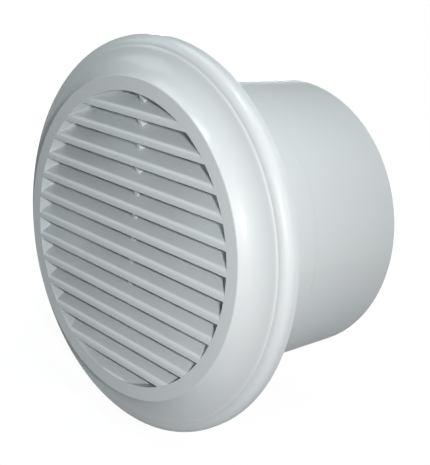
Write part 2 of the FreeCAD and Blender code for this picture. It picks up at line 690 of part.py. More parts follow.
def terminal_screws():
    """Headless slotted screws in the terminal tubes."""
    front_y = TRAY_REAR_Y - TRAY_WALL - TERMINAL_HEIGHT + TERMINAL_SCREW_RECESS
    slot_y = front_y + CROSS_DEPTH
    half = CROSS_WIDTH / 2
    reach = TERMINAL_SCREW_R
    screws = []
    for x, y in lead_places():
        for z in terminal_screw_heights():
            pin = disc(TERMINAL_SCREW_R, front_y, y - TUBE_BORE_R / 2, x, z)
            slot = block(x - reach, x + reach, front_y, slot_y, z - half, z + half)
            screws.append(pin.cut(slot))
    return group(screws)


def motor_lead(index):
    """One insulated lead, from a bobbin's flange straight out to its terminal tube."""
    x, y = lead_places()[index]
    near_z = -coil_span()[1] - PRESS_FIT
    far_z = TERMINAL_NEAR_Z - LEAD_INSERT
    return Part.makeCylinder(LEAD_R, near_z - far_z, V(x, y, near_z), V(0, 0, -1))


def terminal_cover():
    """The flat lid of the terminal tray, notched for the cable."""
    half = TRAY_WIDTH / 2
    notch_half = COVER_NOTCH_WIDTH / 2
    front_y = TRAY_FRONT_Y - COVER_WALL
    lid = block(-half, half, front_y, TRAY_FRONT_Y, TRAY_OUTER_Z, -CUP_R - COVER_CUP_GAP)
    notch_z = TRAY_OUTER_Z + COVER_NOTCH_HEIGHT
    notch = block(-notch_half, notch_half, front_y, TRAY_FRONT_Y, TRAY_OUTER_Z, notch_z)
    hole = disc(MOTOR_SCREW_R + SCREW_CLEARANCE, front_y, TRAY_FRONT_Y, COVER_POST_X, COVER_POST_Z)
    return lid.cut([notch, hole])


def terminal_cover_screw():
    """The screw that holds the lid on its post."""
    seat_y = TRAY_FRONT_Y - COVER_WALL
    tip_y = TRAY_REAR_Y - TRAY_WALL - 2 * SCREW_TIP_GAP
    return screw(COVER_POST_X, COVER_POST_Z, seat_y, tip_y, MOTOR_SCREW_R, MOTOR_SCREW_HEAD_R)


def cable_clamp():
    """The bar that grips the cable's sheath, arched on its underside."""
    rear_y = TRAY_REAR_Y - TRAY_WALL - CLAMP_POST_HEIGHT
    front_y = rear_y - CLAMP_BAR_WALL
    half = CLAMP_BAR_LENGTH / 2
    z0, z1 = CLAMP_Z - CLAMP_BAR_WIDTH / 2, CLAMP_Z + CLAMP_BAR_WIDTH / 2
    bar = block(-half, half, front_y, rear_y, z0, z1)
    arch_y = rear_y + CLAMP_ARCH_R - CLAMP_BAR_WALL / 2
    cuts = [Part.makeCylinder(CLAMP_ARCH_R, CLAMP_BAR_WIDTH, V(0, arch_y, z0), V(0, 0, 1))]
    for side in (-1, 1):
        cuts.append(disc(MOTOR_SCREW_R + SCREW_CLEARANCE, front_y, rear_y, side * CLAMP_SPAN / 2, CLAMP_Z))
    return bar.cut(cuts)


def clamp_screws():
    """The two screws of the cable clamp."""
    rear_y = TRAY_REAR_Y - TRAY_WALL
    seat_y = rear_y - CLAMP_POST_HEIGHT - CLAMP_BAR_WALL
    screws = []
    for side in (-1, 1):
        x = side * CLAMP_SPAN / 2
        screws.append(screw(x, CLAMP_Z, seat_y, rear_y - SCREW_TIP_GAP, MOTOR_SCREW_R, MOTOR_SCREW_HEAD_R))
    return group(screws)


def pole_arm():
    """One stator pole at +X: the body, and a shoe that follows the rotor bore."""
    half = POLE_WIDTH / 2
    body = block(STATOR_BORE_R, YOKE_R + YOKE_WALL / 2, STACK_FRONT_Y, STACK_REAR_Y, -half, half)
    shoe = Part.makeCylinder(
        STATOR_BORE_R + SHOE_WALL, STACK_LENGTH, V(0, STACK_FRONT_Y, 0), INTO_DUCT, SHOE_ANGLE)
    shoe.rotate(ORIGIN, INTO_DUCT, -middle_angle(shoe))
    return body.fuse(shoe)


def middle_angle(sector):
    """How far a sector's middle is turned round the duct axis from +X."""
    centre = sector.CenterOfMass
    return math.degrees(math.atan2(-centre.z, centre.x))


def shading_band(y0, y1, z0, z1, gap=0.0):
    """A strip at +X that follows the rotor bore, as deep as the shading wire."""
    reach = STATOR_BORE_R + SHADING_WIRE + gap
    strip = block(0, reach, y0, y1, z0 - gap, z1 + gap)
    return strip.common(tube(reach, STATOR_BORE_R, y0, y1))


def shading_leg_heights():
    """The lower Z of each leg of the shading loop at +X."""
    return [SHADING_NEAR, SHADING_NEAR + SHADING_SPAN - SHADING_WIRE]


def stator_core():
    """The laminated stator: a round yoke and four poles."""
    yoke = tube(STACK_R, YOKE_R, STACK_FRONT_Y, STACK_REAR_Y)
    core = whole(yoke, ring_of(pole_arm(), POLE_COUNT, 0))
    cuts = [disc(STATOR_BORE_R, STACK_FRONT_Y, STACK_REAR_Y)]
    hole = disc(MOTOR_SCREW_R + SCREW_CLEARANCE, STACK_FRONT_Y, STACK_REAR_Y, THROUGH_CIRCLE_R)
    cuts += ring_of(hole, ARM_COUNT, ARM_START)
    core = core.cut(cuts)
    grooves = []
    for z in shading_leg_heights():
        groove = shading_band(STACK_FRONT_Y, STACK_REAR_Y, z, z + SHADING_WIRE, SHADING_GROOVE_GAP)
        grooves += ring_of(groove, POLE_COUNT, 0)
    return core.cut(grooves)


def shading_rings():
    """A closed copper loop in each pole shoe, bridged beyond both ends of the stack."""
    y0 = STACK_FRONT_Y - SHADING_WIRE
    y1 = STACK_REAR_Y + SHADING_WIRE
    frame = shading_band(y0, y1, SHADING_NEAR, SHADING_NEAR + SHADING_SPAN)
    low, high = SHADING_NEAR + SHADING_WIRE, SHADING_NEAR + SHADING_SPAN - SHADING_WIRE
    window = block(0, STACK_R, STACK_FRONT_Y, STACK_REAR_Y, low, high)
    return group(ring_of(frame.cut(window), POLE_COUNT, 0))


def around_pole(inner_gap, outer_gap, r0, r1):
    """A rectangular sleeve round the pole at +X, between two gaps from its faces."""
    def frame(gap):
        half = POLE_WIDTH / 2 + gap
        return block(r0, r1, STACK_FRONT_Y - gap, STACK_REAR_Y + gap, -half, half)
    return frame(outer_gap).cut(frame(inner_gap))


def coil_span():
    """The radii between which a bobbin sits: behind the shoe's widest point and inside the yoke's corner."""
    half = POLE_WIDTH / 2 + BOBBIN_GAP + 2 * BOBBIN_WALL + WINDING_DEPTH
    outer = math.sqrt((YOKE_R - LOCATING_FIT) ** 2 - half ** 2)
    return STATOR_BORE_R + SHOE_WALL + LOCATING_FIT, outer


def coil_bobbins():
    """A moulded bobbin on each pole, with a flange at both ends."""
    r0, r1 = coil_span()
    wall = BOBBIN_GAP + BOBBIN_WALL
    sleeve = around_pole(BOBBIN_GAP, wall, r0, r1)
    ends = [
        around_pole(BOBBIN_GAP, COIL_REACH, r0, r0 + BOBBIN_WALL),
        around_pole(BOBBIN_GAP, COIL_REACH, r1 - BOBBIN_WALL, r1),
    ]
    return group(ring_of(whole(sleeve, ends), POLE_COUNT, 0))


def coil_windings():
    """The wound copper on each bobbin, as a plain sleeve."""
    r0, r1 = coil_span()
    wall = BOBBIN_GAP + BOBBIN_WALL + PRESS_FIT
    inset = BOBBIN_WALL + PRESS_FIT
    winding = around_pole(wall, wall + WINDING_DEPTH, r0 + inset, r1 - inset)
    return group(ring_of(winding, POLE_COUNT, 0))


def thermal_fuse():
    """The overload fuse, lying on the upper coil's rear face."""
    r0, r1 = coil_span()
    y = STACK_REAR_Y + BOBBIN_GAP + BOBBIN_WALL + PRESS_FIT + WINDING_DEPTH + FUSE_R + LOCATING_FIT
    middle = (r0 + r1) / 2
    return Part.makeCylinder(FUSE_R, FUSE_LENGTH, V(-FUSE_LENGTH / 2, y, middle), V(1, 0, 0))


def bracket_cross(reach, y0):
    """A cross of four flat arms with round ends, and a middle disc."""
    half = BRACKET_ARM_WIDTH / 2
    arm = block(0, reach, y0, y0 + BRACKET_WALL, -half, half).fuse(disc(half, y0, y0 + BRACKET_WALL, reach))
    return whole(disc(BRACKET_BOSS_R, y0, y0 + BRACKET_WALL), ring_of(arm, ARM_COUNT, ARM_START))


def bearing_seat(bush_y, felt_y, cap_y):
    """The stepped hollow of a bearing boss, for the bush and for the felt with its cap."""
    wide_r = FELT_R + LOCATING_FIT
    ends = [felt_y, felt_y + FELT_LENGTH, cap_y, cap_y + CAP_LENGTH]
    bush = disc(BUSH_R + PRESS_FIT, bush_y, bush_y + BUSH_LENGTH)
    return bush.fuse(disc(wide_r, min(ends), max(ends)))


def motor_front_bracket():
    """The front bearing bracket: boss, cross, and legs that stand on the stator."""
    boss = disc(BRACKET_BOSS_R, FRONT_CAP_Y, FRONT_BUSH_Y + BUSH_LENGTH)
    cross = bracket_cross(THROUGH_CIRCLE_R, FRONT_BRACKET_Y)
    leg = disc(THROUGH_LEG_R, FRONT_BRACKET_Y, STACK_FRONT_Y, THROUGH_CIRCLE_R)
    bracket = whole(boss, [cross] + ring_of(leg, ARM_COUNT, ARM_START))
    hole = disc(MOTOR_SCREW_R + LOCATING_FIT, FRONT_BRACKET_Y, STACK_FRONT_Y, THROUGH_CIRCLE_R)
    seat = bearing_seat(FRONT_BUSH_Y, FRONT_BUSH_Y - FELT_LENGTH, FRONT_CAP_Y)
    return bracket.cut([seat] + ring_of(hole, ARM_COUNT, ARM_START))


def motor_rear_bracket():
    """The rear bearing bracket, which also holds the motor on the cup's bosses."""
    boss = disc(BRACKET_BOSS_R, REAR_BUSH_Y, BRACKET_REAR_Y)
    cross = bracket_cross(CUP_BOSS_CIRCLE_R, CUP_REAR_Y)
    leg = disc(THROUGH_LEG_R, STACK_REAR_Y, CUP_REAR_Y, THROUGH_CIRCLE_R)
    bracket = whole(boss, [cross] + ring_of(leg, ARM_COUNT, ARM_START))
    through = disc(MOTOR_SCREW_R + SCREW_CLEARANCE, STACK_REAR_Y, BRACKET_REAR_Y, THROUGH_CIRCLE_R)
    ear = disc(MOTOR_SCREW_R + SCREW_CLEARANCE, CUP_REAR_Y, BRACKET_REAR_Y, CUP_BOSS_CIRCLE_R)
    seat = bearing_seat(REAR_BUSH_Y, REAR_BUSH_Y + BUSH_LENGTH, REAR_CAP_Y)
    holes = [seat] + ring_of(through, ARM_COUNT, ARM_START) + ring_of(ear, ARM_COUNT, ARM_START)
    return bracket.cut(holes)


def bearing(bush_y):
    """A plain sintered bush."""
    return tube(BUSH_R, SHAFT_R + RUNNING_FIT, bush_y, bush_y + BUSH_LENGTH)


def bearing_washers(places, length, outer_r, inner_r):
    """Flat rings on the shaft at the given Y places."""
    return group([tube(outer_r, inner_r, y, y + length) for y in places])


def oil_felts():
    """The oil-soaked felt beside each bush."""
    places = [FRONT_BUSH_Y - FELT_LENGTH, REAR_BUSH_Y + BUSH_LENGTH]
    return bearing_washers(places, FELT_LENGTH, FELT_R, SHAFT_R + SHAFT_CLEARANCE)


def felt_caps():
    """The pressed steel rings that keep the felts in."""
    return bearing_washers([FRONT_CAP_Y, REAR_CAP_Y], CAP_LENGTH, FELT_R, SHAFT_R + SHAFT_CLEARANCE)


def thrust_washers():
    """Nylon washers on the shaft between the rotor cage and the bushes."""
    places = [CAGE_FRONT_Y - THRUST_WALL, CAGE_REAR_Y]
    return bearing_washers(places, THRUST_WALL, THRUST_WASHER_R, SHAFT_R + PRESS_FIT)


def motor_through_screws():
    """Long screws from the rear bracket through the stator into the front bracket."""
    tip_y = FRONT_BRACKET_Y + SCREW_TIP_GAP / 2
    screws = []
    for angle in spaced(ARM_COUNT, ARM_START):
        x, z = polar(THROUGH_CIRCLE_R, angle)
        screws.append(screw(x, z, BRACKET_REAR_Y, tip_y, MOTOR_SCREW_R, MOTOR_SCREW_HEAD_R))
    return group(screws)


def bracket_screws():
    """Screws that hold the rear bracket on the motor cup."""
    screws = []
    for angle in spaced(ARM_COUNT, ARM_START):
        x, z = polar(CUP_BOSS_CIRCLE_R, angle)
        tip_y = CUP_REAR_Y - CUP_SCREW_REACH
        screws.append(screw(x, z, BRACKET_REAR_Y, tip_y, MOTOR_SCREW_R, MOTOR_SCREW_HEAD_R))
    return group(screws)


def shaft_end_y():
    """The Y of the shaft's rear end, inside the hub's recess."""
    return HUB_REAR_Y - CLIP_RECESS_DEPTH + SHAFT_TAIL


def motor_shaft():
    """The ground steel shaft."""
    return disc(SHAFT_R, FRONT_CAP_Y - SHAFT_NOSE, shaft_end_y())


def rotor_core():
    """The laminated rotor, bored for the shaft and the cage bars."""
    core = tube(ROTOR_R, SHAFT_R + PRESS_FIT, STACK_FRONT_Y, STACK_REAR_Y)
    hole = disc(CAGE_BAR_R + PRESS_FIT, STACK_FRONT_Y, STACK_REAR_Y, CAGE_BAR_CIRCLE_R)
    return core.cut(ring_of(hole, CAGE_BAR_COUNT, 0))


def rotor_cage():
    """The cast squirrel cage: bars through the rotor and a ring at each end, bored to the shaft."""
    outer_r = ROTOR_R - CAGE_RING_WALL
    inner_r = SHAFT_R + PRESS_FIT
    front = tube(outer_r, inner_r, CAGE_FRONT_Y, STACK_FRONT_Y)
    rear = tube(outer_r, inner_r, STACK_REAR_Y, CAGE_REAR_Y)
    bar = disc(CAGE_BAR_R, CAGE_FRONT_Y, CAGE_REAR_Y, CAGE_BAR_CIRCLE_R)
    return whole(front, [rear] + ring_of(bar, CAGE_BAR_COUNT, 0))


def blade_section(radius, share):
    """One cambered section of the blade at +X, at a share of the way from root to tip."""
    chord = BLADE_ROOT_CHORD + (BLADE_TIP_CHORD - BLADE_ROOT_CHORD) * share
    pitch = math.radians(BLADE_ROOT_PITCH + (BLADE_TIP_PITCH - BLADE_ROOT_PITCH) * share)
    middle_y = HUB_FRONT_Y + BLADE_SETBACK
    sag = -BLADE_CAMBER * chord

    def place(along, across):
        y = middle_y + along * math.sin(pitch) + across * math.cos(pitch)
        z = along * math.cos(pitch) - across * math.sin(pitch)
        return V(radius, y, z)

    half = chord / 2
    edge = BLADE_EDGE / 2
    thick = BLADE_THICKNESS / 2
    upper = Part.Arc(place(-half, edge), place(0, sag + thick), place(half, edge)).toShape()
    tail = Part.makeLine(place(half, edge), place(half, -edge))
    lower = Part.Arc(place(half, -edge), place(0, sag - thick), place(-half, -edge)).toShape()
    nose = Part.makeLine(place(-half, -edge), place(-half, edge))
    return Part.Wire([upper, tail, lower, nose])


def blade():
    """A twisted blade at +X, trimmed between the hub's wall and the tip circle."""
    root_r = math.sqrt((HUB_R - HUB_WALL) ** 2 - (BLADE_ROOT_CHORD / 2) ** 2)
    tip_r = TIP_R + BLADE_THICKNESS
    sections = []
    for i in range(BLADE_STATIONS):
        share = i / (BLADE_STATIONS - 1)
        sections.append(blade_section(root_r + (tip_r - root_r) * share, share))
    solid = Part.makeLoft(sections, True)
    trim_r = HUB_R - HUB_WALL / 2
    return solid.common(tube(TIP_R, trim_r, HUB_FRONT_Y - HUB_LENGTH, HUB_REAR_Y + HUB_LENGTH))


def impeller():
    """Hub cup with its boss and inner ribs, and the blades."""
    hub = disc(HUB_R, HUB_FRONT_Y, HUB_REAR_Y)
    hub = hub.makeFillet(HUB_ROUND, [e for e in hub.Edges if is_circle(e, HUB_R, HUB_REAR_Y)])
    hollow = disc(HUB_R - HUB_WALL, HUB_FRONT_Y, HUB_REAR_Y - HUB_WALL)
    boss_y = HUB_FRONT_Y + HUB_BOSS_SETBACK
    boss = disc(HUB_BOSS_R, boss_y, HUB_REAR_Y)
    half = HUB_RIB_WALL / 2
    rib_r = HUB_R - HUB_WALL + HUB_RIB_SINK
    rib = block(0, rib_r, boss_y, HUB_REAR_Y - HUB_WALL + HUB_RIB_SINK, -half, half)
    core = whole(hub.cut(hollow), [boss] + ring_of(rib, BLADE_COUNT, 0))
    moulding = whole(core, ring_of(blade(), BLADE_COUNT, 0))
    recess_y = HUB_REAR_Y - CLIP_RECESS_DEPTH
    bore = disc(SHAFT_R + PRESS_FIT, boss_y, recess_y)
    return moulding.cut([bore, disc(CLIP_RECESS_R, recess_y, HUB_REAR_Y)])


def impeller_clip():
    """The push-on ring that keeps the impeller on the shaft, with notches between its teeth."""
    y0 = HUB_REAR_Y - CLIP_RECESS_DEPTH
    ring = tube(CLIP_R, SHAFT_R + PRESS_FIT, y0, y0 + CLIP_WALL)
    half = CLIP_NOTCH / 2
    notch = block(0, (SHAFT_R + CLIP_R) / 2, y0, y0 + CLIP_WALL, -half, half)
    return ring.cut(ring_of(notch, CLIP_TOOTH_COUNT, 0))


PARTS = {
    "front_panel": front_panel,
    "casing": casing,
    "cable_grommet": cable_grommet,
    "rear_spigot": rear_spigot,
    "casing_screws": casing_screws,
    "motor_carrier": motor_carrier,
    "terminal_block": terminal_block,
    "terminal_tubes": terminal_tubes,
    "terminal_screws": terminal_screws,
    "live_lead": lambda: motor_lead(0),
    "neutral_lead": lambda: motor_lead(1),
    "terminal_cover": terminal_cover,
    "terminal_cover_screw": terminal_cover_screw,
    "cable_clamp": cable_clamp,
    "clamp_screws": clamp_screws,
    "stator_core": stator_core,
    "shading_rings": shading_rings,
    "coil_bobbins": coil_bobbins,
    "coil_windings": coil_windings,
    "thermal_fuse": thermal_fuse,
    "motor_front_bracket": motor_front_bracket,
    "motor_rear_bracket": motor_rear_bracket,
    "front_bearing": lambda: bearing(FRONT_BUSH_Y),
    "rear_bearing": lambda: bearing(REAR_BUSH_Y),
    "oil_felts": oil_felts,
    "felt_caps": felt_caps,
    "thrust_washers": thrust_washers,
    "motor_through_screws": motor_through_screws,
    "bracket_screws": bracket_screws,
    "motor_shaft": motor_shaft,
    "rotor_core": rotor_core,
    "rotor_cage": rotor_cage,
    "impeller": impeller,
    "impeller_clip": impeller_clip,
}

os.makedirs("parts", exist_ok=True)
for name, make in PARTS.items():
    shape = make()
    shape.exportStep("parts/" + name + ".step")
    solids = shape.Solids
    print(name, len(solids), "solids", round(sum(s.Volume for s in solids)), "mm3", shape.isValid())
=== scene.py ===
import json
import math

import bpy
from mathutils import Matrix, Vector


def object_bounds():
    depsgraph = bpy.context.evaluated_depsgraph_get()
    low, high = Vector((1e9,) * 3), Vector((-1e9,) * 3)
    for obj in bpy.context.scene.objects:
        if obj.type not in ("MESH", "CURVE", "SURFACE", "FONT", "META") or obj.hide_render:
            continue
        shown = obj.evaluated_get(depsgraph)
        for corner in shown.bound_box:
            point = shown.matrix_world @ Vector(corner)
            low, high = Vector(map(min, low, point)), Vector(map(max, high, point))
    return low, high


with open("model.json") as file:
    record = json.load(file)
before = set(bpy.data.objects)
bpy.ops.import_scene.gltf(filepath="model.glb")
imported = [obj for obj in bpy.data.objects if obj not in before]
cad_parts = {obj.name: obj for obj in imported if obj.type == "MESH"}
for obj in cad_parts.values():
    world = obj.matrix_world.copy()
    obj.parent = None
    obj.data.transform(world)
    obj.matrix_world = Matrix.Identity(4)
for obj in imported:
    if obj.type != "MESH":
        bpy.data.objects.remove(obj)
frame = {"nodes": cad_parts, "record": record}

# Looks of a round white extract fan: moulded plastics outside, a small motor inside.
# Metres, in the frame of the solids: +Y runs into the duct, -Y faces the room and +Z is up.

cad_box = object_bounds()
scene = bpy.context.scene
scene.view_settings.view_transform = "Standard"

# Camera, fitted to the outlines of the ring, the rim and the spigot
CAMERA_PLACE = Vector((0.26350, -0.22597, 0.10689))
CAMERA_LOOK = Vector((-0.678472, 0.677210, -0.284715))
CAMERA_UP = Vector((-0.268730, 0.131912, 0.954140))
LENS_MM = 68.47
SENSOR_MM = 36.0

# Lamps: name, place, width, watts and colour. Each one faces the point where the fan's axis meets the wall.
LAMP_AIM = Vector((0.0, 0.0, 0.0))
WARM_LIGHT = (1.0, 0.955, 0.945)
COOL_LIGHT = (0.84, 0.97, 1.0)
PALE_COOL_LIGHT = (0.88, 0.99, 1.0)
PLAIN_LIGHT = (1.0, 1.0, 1.0)
LAMPS = [
    ("key_lamp", (0.32, -0.212, 0.122), 0.02, 1.12, WARM_LIGHT),
    ("left_softbox", (-1.05, -0.65, 0.75), 0.55, 2.0, COOL_LIGHT),
    ("top_strip", (0.1, -0.075, 0.4), 0.12, 0.34, PALE_COOL_LIGHT),
    ("top_softbox", (-0.15, 0.0, 0.45), 0.20, 0.26, PLAIN_LIGHT),
    ("rear_softbox", (0.25, 0.2, 0.4), 0.30, 0.45, PLAIN_LIGHT),
    ("low_softbox", (0.45, 0.25, -0.03), 0.10, 0.12, PLAIN_LIGHT),
    ("back_left_softbox", (-0.42, 0.45, 0.03), 0.20, 1.7, PLAIN_LIGHT),
    ("back_softbox", (-0.08, 0.72, 0.03), 0.20, 1.8, PLAIN_LIGHT),
]

# Sky: faint as a light and white where it shows. Glossy surfaces show a share of that white.
SKY_COLOUR = (0.93, 0.97, 1.0, 1.0)
SKY_STRENGTH = 0.01
WHITE = (1.0, 1.0, 1.0, 1.0)
GLOSSY_SHARE = 0.3

# Floor just under the rim's lowest point. Its glow rises from near the fan to further away.
FLOOR_DROP = 0.0002
FLOOR_HALF = 12.0
FLOOR_COLOUR = (0.40, 0.41, 0.42, 1.0)
FLOOR_SHADE_SHARE = 0.30
FLOOR_NEAR, FLOOR_NEAR_GLOW = 0.10, 0.92
FLOOR_FAR, FLOOR_FAR_GLOW = 0.70, 1.0

# Finishes: the scales are in features per metre and the depth is in metres
PATCH_SCALE = 38.0
SMEAR_SCALE = 140.0
NOISE_MIDDLE = 0.5
NOISE_DETAIL = 2.0
GRAIN_DEPTH = 0.00004
COAT_ROUGHNESS = 0.12
METAL_SECOND_SHARE = 0.86
METAL_SPREAD = 0.14
METAL_GRAIN = 3000.0
BAND_RELIEF = 0.6
BAND_PITCH_TO_DEPTH = 3

# How the grain is drawn out: a small value on an axis makes it long there
EVEN_GRAIN = (1.0, 1.0, 1.0)
GRAIN_ALONG_SHAFT = (1.0, 0.06, 1.0)
GRAIN_ACROSS_SHAFT = (0.15, 1.0, 0.15)

# Leaves out the position along the shaft, so that only the distance from its axis counts
FLAT_TO_SHAFT = (1.0, 0.0, 1.0)

# Places of the colour sockets on a mix node
MIX_FIRST, MIX_SECOND, MIX_RESULT = 6, 7, 2


def place_camera():
    """The photograph's viewpoint, with its slight roll."""
    data = bpy.data.cameras.new("photo_camera")
    data.lens = LENS_MM
    data.sensor_width = SENSOR_MM
    data.sensor_fit = "AUTO"
    camera = bpy.data.objects.new("photo_camera", data)
    scene.collection.objects.link(camera)
    back = -CAMERA_LOOK.normalized()
    right = CAMERA_UP.cross(back).normalized()
    up = back.cross(right)
    turn = Matrix((right, up, back)).transposed().to_4x4()
    camera.matrix_world = Matrix.Translation(CAMERA_PLACE) @ turn
    scene.camera = camera


def place_lamps():
    """Square lamps, turned to face their aim."""
    for name, place, width, watts, colour in LAMPS:
        data = bpy.data.lights.new(name, "AREA")
        data.shape = "SQUARE"
        data.size = width
        data.energy = watts
        data.color = colour
        lamp = bpy.data.objects.new(name, data)
        scene.collection.objects.link(lamp)
        lamp.location = place
        lamp.rotation_euler = (LAMP_AIM - Vector(place)).to_track_quat("-Z", "Y").to_euler()


def calculate(tree, operation, first, second=0.0):
    """A math node on sockets or numbers."""
    node = tree.nodes.new("ShaderNodeMath")
    node.operation = operation
    for socket, value in zip(node.inputs, (first, second)):
        if isinstance(value, (int, float)):
            socket.default_value = value
        else:
            tree.links.new(value, socket)
    return node.outputs[0]


def stretched(tree, place, factors):
    """A position multiplied by a factor on each axis."""
    node = tree.nodes.new("ShaderNodeVectorMath")
    node.operation = "MULTIPLY"
    node.inputs[1].default_value = factors
    tree.links.new(place, node.inputs[0])
    return node.outputs["Vector"]


def distance_from_origin(tree, place):
    """How far a position is from the origin."""
    node = tree.nodes.new("ShaderNodeVectorMath")
    node.operation = "LENGTH"
    tree.links.new(place, node.inputs[0])
    return node.outputs["Value"]


def noise(tree, place, scale):
    """A noise texture at a position, with its scale from a socket or a number."""
    node = tree.nodes.new("ShaderNodeTexNoise")
    node.inputs["Detail"].default_value = NOISE_DETAIL
    tree.links.new(place, node.inputs["Vector"])
    if isinstance(scale, (int, float)):
        node.inputs["Scale"].default_value = scale
    else:
        tree.links.new(scale, node.inputs["Scale"])
    return node.outputs["Fac"]


def mixed_colour(tree, factor, first, second):
    """Two colours mixed by a factor."""
    node = tree.nodes.new("ShaderNodeMix")
    node.data_type = "RGBA"
    tree.links.new(factor, node.inputs["Factor"])
    tree.links.new(first, node.inputs[MIX_FIRST])
    tree.links.new(second, node.inputs[MIX_SECOND])
    return node.outputs[MIX_RESULT]


def mixed_shader(tree, factor, first, second):
    """Two shaders mixed by a factor, which is a socket or a number."""
    node = tree.nodes.new("ShaderNodeMixShader")
    if isinstance(factor, (int, float)):
        node.inputs[0].default_value = factor
    else:
        tree.links.new(factor, node.inputs[0])
    tree.links.new(first, node.inputs[1])
    tree.links.new(second, node.inputs[2])
    return node.outputs[0]


def seen_directly(tree):
    """A mask of rays that show the background: camera, transmitted and a share of glossy ones."""
    path = tree.nodes.new("ShaderNodeLightPath")
    glossy = calculate(tree, "MULTIPLY", path.outputs["Is Glossy Ray"], GLOSSY_SHARE)
    mask = calculate(tree, "MAXIMUM", path.outputs["Is Camera Ray"], path.outputs["Is Transmission Ray"])
    return calculate(tree, "MAXIMUM", mask, glossy)


def make_sky():
    """A soft even sky that shows as plain white."""
    world = bpy.data.worlds.new("studio")
    scene.world = world
    world.use_nodes = True
    tree = world.node_tree
    tree.nodes.clear()
    light = tree.nodes.new("ShaderNodeBackground")
    light.inputs["Color"].default_value = SKY_COLOUR
    light.inputs["Strength"].default_value = SKY_STRENGTH
    backdrop = tree.nodes.new("ShaderNodeBackground")
    backdrop.inputs["Color"].default_value = WHITE
    sky = mixed_shader(tree, seen_directly(tree), light.outputs[0], backdrop.outputs[0])
    out = tree.nodes.new("ShaderNodeOutputWorld")
    tree.links.new(sky, out.inputs["Surface"])


def floor_glow(tree):
    """A glow that is a little weaker near the fan, where its shadow falls."""
    place = tree.nodes.new("ShaderNodeNewGeometry").outputs["Position"]
    ramp = tree.nodes.new("ShaderNodeMapRange")
    ramp.inputs["From Min"].default_value = FLOOR_NEAR
    ramp.inputs["From Max"].default_value = FLOOR_FAR
    ramp.inputs["To Min"].default_value = FLOOR_NEAR_GLOW / (1 - FLOOR_SHADE_SHARE)
    ramp.inputs["To Max"].default_value = FLOOR_FAR_GLOW / (1 - FLOOR_SHADE_SHARE)
    tree.links.new(distance_from_origin(tree, place), ramp.inputs["Value"])
    glow = tree.nodes.new("ShaderNodeEmission")
    glow.inputs["Color"].default_value = WHITE
    tree.links.new(ramp.outputs["Result"], glow.inputs["Strength"])
    return glow.outputs[0]


def floor_paper():
    """Pale paper that shows as white, with a share of its real shading."""
    surface = bpy.data.materials.new("floor_paper")
    surface.use_nodes = True
    tree = surface.node_tree
    tree.nodes.clear()
    paper = tree.nodes.new("ShaderNodeBsdfDiffuse")
    paper.inputs["Color"].default_value = FLOOR_COLOUR
    shown = mixed_shader(tree, FLOOR_SHADE_SHARE, floor_glow(tree), paper.outputs[0])
    both = mixed_shader(tree, seen_directly(tree), paper.outputs[0], shown)
    out = tree.nodes.new("ShaderNodeOutputMaterial")
    tree.links.new(both, out.inputs["Surface"])
    return surface


def make_floor():
    """A wide floor under the fan."""
    z = cad_box[0][2] - FLOOR_DROP
    corners = [(-FLOOR_HALF, -FLOOR_HALF, z), (FLOOR_HALF, -FLOOR_HALF, z),
               (FLOOR_HALF, FLOOR_HALF, z), (-FLOOR_HALF, FLOOR_HALF, z)]
    mesh = bpy.data.meshes.new("floor")
    mesh.from_pydata(corners, [], [(0, 1, 2, 3)])
    mesh.materials.append(floor_paper())
    floor = bpy.data.objects.new("floor", mesh)
    scene.collection.objects.link(floor)


def new_group(name, inputs, outputs):
    """An empty shader node group with named sockets, and its input and output nodes."""
    tree = bpy.data.node_groups.new(name, "ShaderNodeTree")
    for label, kind, value in inputs:
        socket = tree.interface.new_socket(label, in_out="INPUT", socket_type="NodeSocket" + kind)
        socket.default_value = value
    for label, kind in outputs:
        tree.interface.new_socket(label, in_out="OUTPUT", socket_type="NodeSocket" + kind)
    return tree, tree.nodes.new("NodeGroupInput"), tree.nodes.new("NodeGroupOutput")


def finish_group(name, stretch):
    """Patchy colour, uneven gloss and a fine grain. The stretch draws the gloss and the grain out."""
    inputs = [("Colour", "Color", (0.8, 0.8, 0.8, 1.0)), ("Second Colour", "Color", (0.7, 0.7, 0.7, 1.0)),
              ("Roughness", "Float", 0.4), ("Spread", "Float", 0.1), ("Grain Scale", "Float", 2000.0)]
    outputs = [("Colour", "Color"), ("Roughness", "Float"), ("Height", "Float")]
    tree, given, result = new_group(name, inputs, outputs)
    place = tree.nodes.new("ShaderNodeTexCoord").outputs["Object"]
    drawn = stretched(tree, place, stretch)
    patches = noise(tree, place, PATCH_SCALE)
    smears = calculate(tree, "SUBTRACT", noise(tree, drawn, SMEAR_SCALE), NOISE_MIDDLE)
    swing = calculate(tree, "MULTIPLY", smears, given.outputs["Spread"])
    roughness = calculate(tree, "ADD", given.outputs["Roughness"], swing)
    colour = mixed_colour(tree, patches, given.outputs["Colour"], given.outputs["Second Colour"])
    grain = noise(tree, drawn, given.outputs["Grain Scale"])
    tree.links.new(colour, result.inputs["Colour"])
    tree.links.new(roughness, result.inputs["Roughness"])
    tree.links.new(grain, result.inputs["Height"])
    return tree


def band_group():
    """Even bands along a given position, as round ridges with darker grooves. The darker groove colour is
    painted shade between turns of wire, and dark joints with painted shade between stacked sheets.
    """
    inputs = [("Position", "Float", 0.0), ("Pitch", "Float", 0.0005),
              ("Colour", "Color", (0.5, 0.5, 0.5, 1.0)), ("Joint And Shade Colour", "Color", (0.2, 0.2, 0.2, 1.0))]
    tree, given, result = new_group("even_bands", inputs, [("Colour", "Color"), ("Height", "Float")])
    bands = calculate(tree, "DIVIDE", given.outputs["Position"], given.outputs["Pitch"])
    wave = calculate(tree, "SINE", calculate(tree, "MULTIPLY", bands, math.pi))
    ridge = calculate(tree, "ABSOLUTE", wave)
    # Painted shade: the grooves between the ridges take the darker colour.
    colour = mixed_colour(tree, ridge, given.outputs["Joint And Shade Colour"], given.outputs["Colour"])
    tree.links.new(colour, result.inputs["Colour"])
    tree.links.new(ridge, result.inputs["Height"])
    return tree


